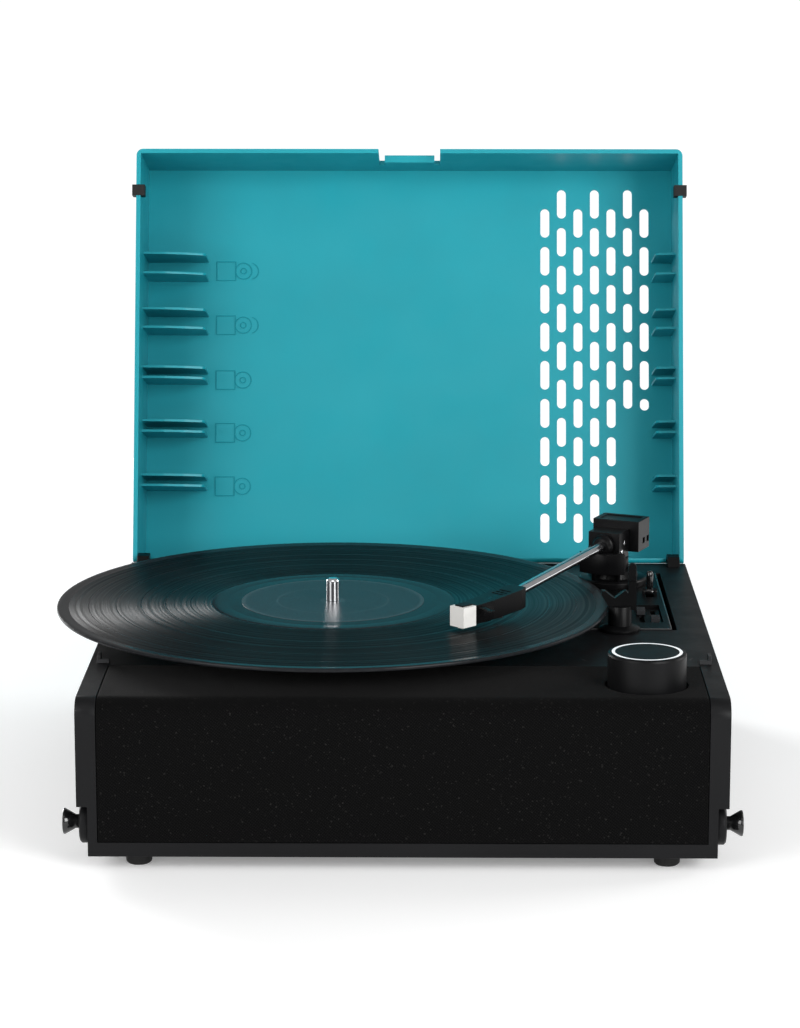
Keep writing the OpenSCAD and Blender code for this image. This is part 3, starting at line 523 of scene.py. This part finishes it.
# ---------------------------------------------------------------- record
def record_disc():
    """Pressed record: raised rim, six tracks of uneven grooves, smooth bands, run-out and label seat."""
    low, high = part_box("record")
    centre = middle("record")
    outer = (high.x - low.x) / 2 / MM
    top, bottom = (high.z - centre.z) / MM, (low.z - centre.z) / MM
    bore = 3.66
    rng = random.Random(7)
    groove_z = top - 0.3
    # Outline from the bore's lower edge out and back in over the top; True marks grooved faces
    path = [(bore, bottom, False), (outer - 0.9, bottom, False), (outer - 0.25, bottom + 0.25, False),
            (outer, bottom + 0.75, False), (outer, top - 0.75, False), (outer - 0.2, top - 0.25, False),
            (outer - 0.8, top, False), (outer - 2.6, top, False), (outer - 4.6, groove_z - 0.02, False)]
    # Radii where the six tracks begin and end
    ends = [outer - 6.5, 133.5, 118.5, 105.0, 91.5, 78.0, 66.5]
    for r, end in zip(ends, ends[1:]):
        path.append((r, groove_z - 0.05, False))
        while r > end + 1.3:
            r -= rng.uniform(0.7, 1.5)
            path.append((r, groove_z + rng.uniform(-0.012, 0.012), True))
        path.append((end + 0.55, groove_z, True))
        path.append((end + 0.35, groove_z - 0.06, False))
    path += [(65.8, groove_z - 0.06, False), (65.2, top - 0.07, False), (64.8, top - 0.03, False),
             (58.0, top - 0.03, False), (57.8, top - 0.06, False), (57.5, top - 0.03, False),
             (51.6, top - 0.02, False), (51.0, top, False), (bore, top, False)]
    segments = 240
    points = turned_points([(r, z) for r, z, _ in path], segments)
    faces, grooved = [], []
    for i in range(len(path)):
        j = (i + 1) % len(path)
        faces += ring_faces(i, j, segments)
        grooved += [path[j][2]] * segments
    obj = make_mesh("pressed_record", points, faces, mats["vinyl"])
    obj.data.materials.append(groove_mat)
    for polygon, is_groove in zip(obj.data.polygons, grooved):
        polygon.material_index = 1 if is_groove else 0
    obj.location = centre
    obj.data.set_sharp_from_angle(angle=math.radians(40))
    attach(obj, "platter_body")
    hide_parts("record")


record_disc()


# ---------------------------------------------------------------- small trim
def turned_disc(name, outline, place, axis, material, body, segments=28):
    """A small turned part from (radius, height) pairs, standing on place along axis."""
    faces = []
    for i in range(len(outline) - 1):
        faces += ring_faces(i, i + 1, segments)
    faces.append(tuple(reversed(range(segments))))
    faces.append(tuple((len(outline) - 1) * segments + s for s in range(segments)))
    obj = make_mesh(name, turned_points(outline, segments), faces, material)
    obj.data.set_sharp_from_angle(angle=math.radians(35))
    obj.rotation_euler = Vector(axis).to_track_quat("Z", "Y").to_euler()
    obj.location = place
    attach(obj, body)


def printed_ticks():
    """Thin printed dashes on the deck behind the knob, one each side of its dial."""
    knob = middle("volume_knob")
    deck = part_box("cabinet")[1].z
    from_knob, length, half_width = 56, 4.2, 0.45
    points, faces = [], []
    for angle in (121, 63):
        a = math.radians(angle)
        along = Vector((math.cos(a), math.sin(a), 0))
        across = Vector((-along.y, along.x, 0)) * half_width * MM
        start = Vector((knob.x, knob.y, 0)) + along * from_knob * MM
        end = start + along * length * MM
        base = len(points)
        for z in (deck + 0.01 * MM, deck + 0.05 * MM):
            for corner in (start - across, start + across, end + across, end - across):
                points.append((corner.x, corner.y, z))
        faces += [(base + 3, base + 2, base + 1, base), (base + 4, base + 5, base + 6, base + 7)]
        faces += [(base + k, base + (k + 1) % 4, base + 4 + (k + 1) % 4, base + 4 + k) for k in range(4)]
    obj = make_mesh("dial_ticks", points, faces, mats["switch_plastic"], smooth=False)
    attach(obj, "cabinet_body")


printed_ticks()


def painted_plate_edge_highlight():
    """Painted highlight: a lighter glossy strip along the chassis plate's front and right edges, beside
    its groove, standing in for the light the edge catches.
    """
    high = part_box("chassis_plate")[1]
    front_y = middle("arm_rest").y + 1 * MM  # the plate starts just behind the rest's middle
    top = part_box("cabinet")[1].z + 0.6 * MM  # the plate stands this much above the deck
    flange = 5 * MM  # the plate's hidden rim, beyond its visible edge
    short_of_rear = 13 * MM
    left = middle("spindle").x
    corner = Vector((high.x - flange, front_y, top))
    # Places along the edge, each with the direction inwards
    path = [(Vector((left, corner.y, top)), Vector((0, 1, 0))), (corner, Vector((-1, 1, 0))),
            (Vector((corner.x, high.y - short_of_rear, top)), Vector((-1, 0, 0)))]
    # Cross-section from the plate's outer edge inwards: how far in, how high
    section = [(-0.08, -0.5), (-0.08, -0.05), (0.05, 0.12), (0.35, 0.16), (0.62, 0.08), (0.7, -0.02)]
    points = [place + inward * a * MM + Vector((0, 0, h * MM))
              for place, inward in path for a, h in section]
    n = len(section)
    faces = [(k * n + i, k * n + (i + 1) % n, (k + 1) * n + (i + 1) % n, (k + 1) * n + i)
             for k in range(len(path) - 1) for i in range(n)]
    faces += [tuple(range(n - 1, -1, -1)), tuple(range(2 * n, 3 * n))]
    obj = make_mesh("painted_plate_edge_highlight", points, faces, mats["plate_edge"], smooth=False)
    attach(obj, "cabinet_body")


painted_plate_edge_highlight()

# Screw head with a round recess, then the tonearm's own angles and lengths in mm
SCREW = [(1.3, 0.0), (1.3, 0.35), (1.05, 0.62), (0.7, 0.68), (0.62, 0.3), (0.05, 0.3)]
TUBE_YAW, HEAD_OFFSET = math.radians(23.8), math.radians(20)
TUBE_REACH, HEAD_LENGTH, BLOCK_LENGTH = 148, 36, 9.6


def arm_place(x, y, z, turn=0.0, ahead=0.0):
    """Point in the arm's own frame: x right and y back in mm, z as a height in the shared frame.

    The frame can be moved ahead along the tube (mm) and turned further there (radians).
    """
    low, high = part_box("tonearm_base")
    pivot_x, pivot_y = (low.x + high.x) / 2, (low.y + high.y) / 2
    lx = x * math.cos(turn) + y * math.sin(turn)
    ly = -x * math.sin(turn) + y * math.cos(turn) - ahead
    gx = lx * math.cos(TUBE_YAW) + ly * math.sin(TUBE_YAW)
    gy = -lx * math.sin(TUBE_YAW) + ly * math.cos(TUBE_YAW)
    return Vector((pivot_x + gx * MM, pivot_y + gy * MM, z))


def head_place(x, y, z):
    """Point in the headshell's frame, from the tube's end."""
    return arm_place(x, y, z, HEAD_OFFSET, TUBE_REACH)


def bent_strip(name, stations, thick_mm, material):
    """Thin strip through pairs of points (left, right edge), with the given thickness below them."""
    points, faces = [], []
    for left, right in stations:
        down = Vector((0, 0, -thick_mm * MM))
        points += [left, right, right + down, left + down]
    for k in range(len(stations) - 1):
        a = 4 * k
        faces += [(a + i, a + (i + 1) % 4, a + 4 + (i + 1) % 4, a + 4 + i) for i in range(4)]
    faces += [(3, 2, 1, 0), tuple(4 * (len(stations) - 1) + i for i in range(4))]
    obj = make_mesh(name, points, faces, material, smooth=False)
    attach(obj, "arm_body")


def arm_trim():
    """Screw in the arm's holder, dark spring clip over the stylus block, and finger tab."""
    holder_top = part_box("arm_holder")[1].z
    arm_right = arm_place(1, 0, 0) - arm_place(0, 0, 0)
    turned_disc("holder_screw", SCREW, arm_place(9.5, -11.5, holder_top - 11 * MM), arm_right,
                mats["chrome"], "arm_body")

    block_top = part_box("stylus_block")[1].z
    block_front = -HEAD_LENGTH - BLOCK_LENGTH
    half_width = 2.9
    # How far behind the block's front, and how high above its top
    clip = [(1.6, 0.62), (2.2, 0.75), (9.3, 0.75)]
    bent_strip("stylus_clip",
               [(head_place(-half_width, block_front + y, block_top + z * MM),
                 head_place(half_width, block_front + y, block_top + z * MM)) for y, z in clip],
               0.6, mats["black_plastic"])

    tab_back, tab_front = -HEAD_LENGTH + 4.4, -HEAD_LENGTH + 1.4
    # How far right of the headshell's middle, and how high against the block's top
    tab = [(5.3, -0.9), (8.0, -0.9), (12.5, -1.8), (14.5, -1.7)]
    bent_strip("finger_tab",
               [(head_place(x, tab_back, block_top + z * MM),
                 head_place(x, tab_front, block_top + z * MM)) for x, z in tab],
               0.8, mats["arm_plastic"])


arm_trim()


# ---------------------------------------------------------------- floor, light, camera
def studio():
    mat, tree, shader = new_material("floor_look")
    coords = object_coords(tree)
    tree.links.new(two_tone(tree, noise(tree, coords, 3.0), (0.93, 0.93, 0.93), (0.95, 0.95, 0.95)),
                   shader.inputs["Base Color"])
    shader.inputs["Roughness"].default_value = 0.6
    shader.inputs["Specular IOR Level"].default_value = 0.15
    shader.inputs["Emission Color"].default_value = (1, 1, 1, 1)
    shader.inputs["Emission Strength"].default_value = 0.21
    corners = [(-1.5, -1.8, 0), (1.5, -1.8, 0), (1.5, 0.9, 0), (-1.5, 0.9, 0)]
    floor = make_mesh("studio_floor", corners, [(0, 1, 2, 3)], mat)

    world = bpy.data.worlds.new("studio_world")
    scene.world = world
    world.use_nodes = True
    tree = world.node_tree
    back = tree.nodes["Background"]
    back.inputs["Color"].default_value = (1, 1, 1, 1)
    path = tree.nodes.new("ShaderNodeLightPath")
    strength = add(tree, "ShaderNodeMapRange")
    strength.inputs["To Min"].default_value = 0.30
    strength.inputs["To Max"].default_value = 1.05
    tree.links.new(path.outputs["Is Camera Ray"], strength.inputs["Value"])
    tree.links.new(strength.outputs["Result"], back.inputs["Strength"])


def softbox(name, place, aim, size, watts):
    data = bpy.data.lights.new(name, "AREA")
    data.shape = "RECTANGLE"
    data.size, data.size_y = size
    data.energy = watts
    obj = bpy.data.objects.new(name, data)
    obj.location = place
    obj.rotation_euler = (Vector(aim) - Vector(place)).to_track_quat("-Z", "Y").to_euler()
    scene.collection.objects.link(obj)


studio()
softbox("key", (1.15, -1.5, 0.75), (0.05, 0.1, 0.2), (0.9, 0.9), 26)
softbox("fill", (-1.3, -1.5, 0.7), (0, 0, 0.2), (1.0, 1.0), 18)
softbox("high_front", (0.0, -1.6, 2.0), (0, 0.1, 0.1), (1.6, 0.8), 5)
softbox("behind_left", (-1.25, 1.6, 0.5), (0, 0, 0.1), (0.8, 0.7), 38)
softbox("right_side", (1.7, 0.55, 0.8), (0, 0, 0.1), (0.7, 0.9), 12)

camera = bpy.data.cameras.new("camera")
camera.lens = 114.3
camera.sensor_width = 36
view_from = bpy.data.objects.new("camera", camera)
view_from.location = (25.7 * MM, -1802.3 * MM, 515.5 * MM)
view_from.rotation_euler = (math.radians(90 - 11.77), 0, math.radians(0.65))
scene.collection.objects.link(view_from)
scene.camera = view_from
camera.clip_start, camera.clip_end = 0.05, 200
scene.view_settings.view_transform = "Standard"
scene.view_settings.look = "None"
